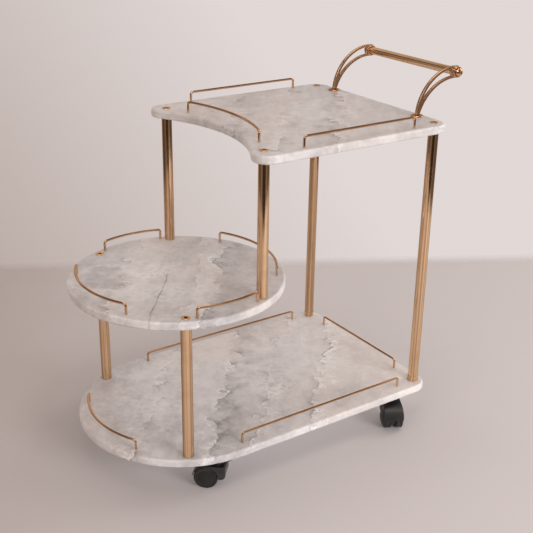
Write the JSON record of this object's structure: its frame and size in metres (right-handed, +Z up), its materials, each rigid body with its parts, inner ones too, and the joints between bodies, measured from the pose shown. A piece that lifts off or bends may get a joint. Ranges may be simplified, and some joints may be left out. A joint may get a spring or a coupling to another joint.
{
  "type": "tea trolley",
  "caption": "Open tea trolley with marble-look boards on tube posts, a round middle shelf, wire gallery rails, a curved push handle and swivelling twin-wheel casters.",
  "frame": {"origin": "on the floor, under the middle of the overall length and width", "axes": "+X from the round end to the handle, +Y from the front side to the back side, +Z up"},
  "size_m": [0.8483, 0.5268, 0.7857],
  "materials": {
    "board": "fibreboard with a glossy marble-look coating",
    "rose_gold": "polished rose-gold plating on steel",
    "bolt": "satin rose-gold plating on steel",
    "hood": "satin black nylon",
    "wheel": "satin black nylon with a soft tread",
    "steel": "zinc-plated steel"
  },
  "bodies": {
    "frame": {"back_left_caster_kingpin": "steel", "back_left_caster_plate": "steel", "back_right_caster_kingpin": "steel", "back_right_caster_plate": "steel", "bottom_board": "board", "bottom_board_bolts": "bolt", "bottom_rail_back": "rose_gold", "bottom_rail_front": "rose_gold", "bottom_rail_handle_end": "rose_gold", "bottom_rail_round_end": "rose_gold", "caster_screws": "steel", "front_left_caster_kingpin": "steel", "front_left_caster_plate": "steel", "front_right_caster_kingpin": "steel", "front_right_caster_plate": "steel", "handle_arm_back": "rose_gold", "handle_arm_front": "rose_gold", "handle_bar": "rose_gold", "handle_bolts": "bolt", "handle_knobs": "rose_gold", "handle_rosettes": "rose_gold", "long_post_back": "rose_gold", "long_post_collars": "rose_gold", "long_post_front": "rose_gold", "lower_post_back": "rose_gold", "lower_post_front": "rose_gold", "middle_board": "board", "middle_board_bolts": "bolt", "middle_rail_back": "rose_gold", "middle_rail_front": "rose_gold", "middle_rail_inner": "rose_gold", "middle_rail_round_end": "rose_gold", "post_plugs": "steel", "top_board": "board", "top_board_bolts": "bolt", "top_rail_back": "rose_gold", "top_rail_bite": "rose_gold", "top_rail_front": "rose_gold", "upper_post_back": "rose_gold", "upper_post_front": "rose_gold"},
    "front_left_swivel": {"front_left_caster_body": "hood", "front_left_caster_axle": "steel"},
    "front_left_wheel_left": {"front_left_caster_wheel_left": "wheel"},
    "front_left_wheel_right": {"front_left_caster_wheel_right": "wheel"},
    "front_right_swivel": {"front_right_caster_body": "hood", "front_right_caster_axle": "steel"},
    "front_right_wheel_left": {"front_right_caster_wheel_left": "wheel"},
    "front_right_wheel_right": {"front_right_caster_wheel_right": "wheel"},
    "back_left_swivel": {"back_left_caster_body": "hood", "back_left_caster_axle": "steel"},
    "back_left_wheel_left": {"back_left_caster_wheel_left": "wheel"},
    "back_left_wheel_right": {"back_left_caster_wheel_right": "wheel"},
    "back_right_swivel": {"back_right_caster_body": "hood", "back_right_caster_axle": "steel"},
    "back_right_wheel_left": {"back_right_caster_wheel_left": "wheel"},
    "back_right_wheel_right": {"back_right_caster_wheel_right": "wheel"}
  },
  "joints": [
    {"name": "front_left_swivel_turn", "type": "hinge", "parent": "frame", "child": "front_left_swivel", "pos_m": [-0.2212, -0.205, 0.0532], "axis": [0, 0, 1], "continuous": true},
    {"name": "front_left_wheel_left_roll", "type": "hinge", "parent": "front_left_swivel", "child": "front_left_wheel_left", "pos_m": [-0.24217, -0.18645, 0.025], "axis": [0.6626, 0.749, 0], "continuous": true},
    {"name": "front_left_wheel_right_roll", "type": "hinge", "parent": "front_left_swivel", "child": "front_left_wheel_right", "pos_m": [-0.24217, -0.18645, 0.025], "axis": [0.6626, 0.749, 0], "continuous": true},
    {"name": "front_right_swivel_turn", "type": "hinge", "parent": "frame", "child": "front_right_swivel", "pos_m": [0.2338, -0.205, 0.0532], "axis": [0, 0, 1], "continuous": true},
    {"name": "front_right_wheel_left_roll", "type": "hinge", "parent": "front_right_swivel", "child": "front_right_wheel_left", "pos_m": [0.2198, -0.22925, 0.025], "axis": [-0.866, 0.5, 0], "continuous": true},
    {"name": "front_right_wheel_right_roll", "type": "hinge", "parent": "front_right_swivel", "child": "front_right_wheel_right", "pos_m": [0.2198, -0.22925, 0.025], "axis": [-0.866, 0.5, 0], "continuous": true},
    {"name": "back_left_swivel_turn", "type": "hinge", "parent": "frame", "child": "back_left_swivel", "pos_m": [-0.2212, 0.205, 0.0532], "axis": [0, 0, 1], "continuous": true},
    {"name": "back_left_wheel_left_roll", "type": "hinge", "parent": "back_left_swivel", "child": "back_left_wheel_left", "pos_m": [-0.24217, 0.18645, 0.025], "axis": [-0.6626, 0.749, 0], "continuous": true},
    {"name": "back_left_wheel_right_roll", "type": "hinge", "parent": "back_left_swivel", "child": "back_left_wheel_right", "pos_m": [-0.24217, 0.18645, 0.025], "axis": [-0.6626, 0.749, 0], "continuous": true},
    {"name": "back_right_swivel_turn", "type": "hinge", "parent": "frame", "child": "back_right_swivel", "pos_m": [0.2338, 0.205, 0.0532], "axis": [0, 0, 1], "continuous": true},
    {"name": "back_right_wheel_left_roll", "type": "hinge", "parent": "back_right_swivel", "child": "back_right_wheel_left", "pos_m": [0.2198, 0.22925, 0.025], "axis": [0.866, 0.5, 0], "continuous": true},
    {"name": "back_right_wheel_right_roll", "type": "hinge", "parent": "back_right_swivel", "child": "back_right_wheel_right", "pos_m": [0.2198, 0.22925, 0.025], "axis": [0.866, 0.5, 0], "continuous": true}
  ]
}
